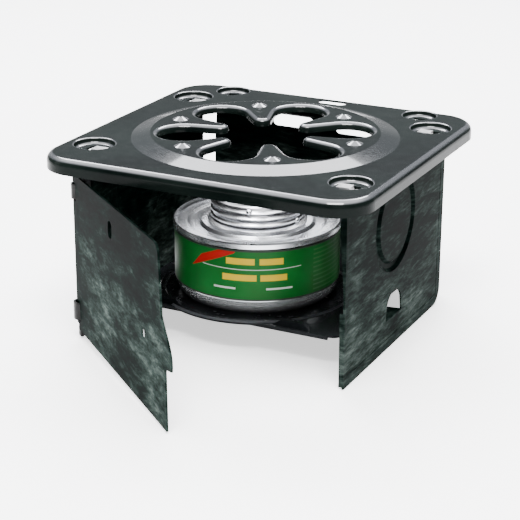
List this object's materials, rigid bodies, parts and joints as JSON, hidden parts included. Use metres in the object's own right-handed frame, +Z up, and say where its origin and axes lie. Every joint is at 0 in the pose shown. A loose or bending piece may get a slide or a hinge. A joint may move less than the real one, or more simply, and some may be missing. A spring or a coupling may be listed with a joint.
{
  "type": "canister stove",
  "caption": "Folding sheet-steel camp stove: a pan plate with a petal-shaped burner opening on hinged side and back panels, a front door, a slide-in tray and a wick-type fuel can.",
  "frame": {"origin": "bottom centre of the whole object's box, with the door standing open", "axes": "+Z up, +Y towards the back panel, +X towards the right side panel"},
  "size_m": [0.178, 0.2366, 0.106],
  "materials": {
    "stove_steel": "glossy dark enamel",
    "hinge_steel": "dark, smooth",
    "can_tinplate": "bright tinplate",
    "holder_tinplate": "satin",
    "wick_fibre": "braided",
    "fuel": "soaked pad",
    "printed_label": "gloss print"
  },
  "bodies": {
    "frame": {"top_plate": "stove_steel", "hinge_rod_left": "hinge_steel", "hinge_rod_right": "hinge_steel", "hinge_rod_back": "hinge_steel", "hinge_clip_back_left": "hinge_steel", "hinge_clip_back_right": "hinge_steel", "hinge_clip_left_front": "hinge_steel", "hinge_clip_left_rear": "hinge_steel", "hinge_clip_right_front": "hinge_steel", "hinge_clip_right_rear": "hinge_steel"},
    "left_panel": {"left_side_panel": "stove_steel", "door_loop_lower": "hinge_steel", "door_loop_upper": "hinge_steel", "loop_rivets": "hinge_steel"},
    "right_panel": {"right_side_panel": "stove_steel"},
    "back_panel": {"back_panel": "stove_steel"},
    "door": {"door_panel": "stove_steel", "door_hinge_rod": "hinge_steel"},
    "tray": {"fuel_tray": "stove_steel"},
    "can": {"can_body": "can_tinplate", "can_lid": "can_tinplate", "can_neck": "can_tinplate", "wick_holder": "holder_tinplate", "wick": "wick_fibre", "fuel_fill": "fuel", "can_label": "printed_label"}
  },
  "joints": [
    {"name": "left_panel_swing", "type": "hinge", "parent": "frame", "child": "left_panel", "pos_m": [-0.0734, 0.03338, 0.0955], "axis": [0, 1, 0], "range_deg": [0, 20]},
    {"name": "right_panel_swing", "type": "hinge", "parent": "frame", "child": "right_panel", "pos_m": [0.0734, 0.03338, 0.0955], "axis": [0, -1, 0], "range_deg": [0, 20]},
    {"name": "back_panel_swing", "type": "hinge", "parent": "frame", "child": "back_panel", "pos_m": [0, 0.10678, 0.0955], "axis": [1, 0, 0], "range_deg": [0, 85]},
    {"name": "door_swing", "type": "hinge", "parent": "left_panel", "child": "door", "pos_m": [-0.0728, -0.03562, 0.05], "axis": [0, 0, 1], "range_deg": [-70, 38.5]},
    {"name": "tray_slide", "type": "slide", "parent": "frame", "child": "tray", "axis": [0, -1, 0], "range_m": [0, 0.014]},
    {"name": "can_lift", "type": "slide", "parent": "tray", "child": "can", "axis": [0, 0, 1], "range_m": [0, 0.014]}
  ]
}
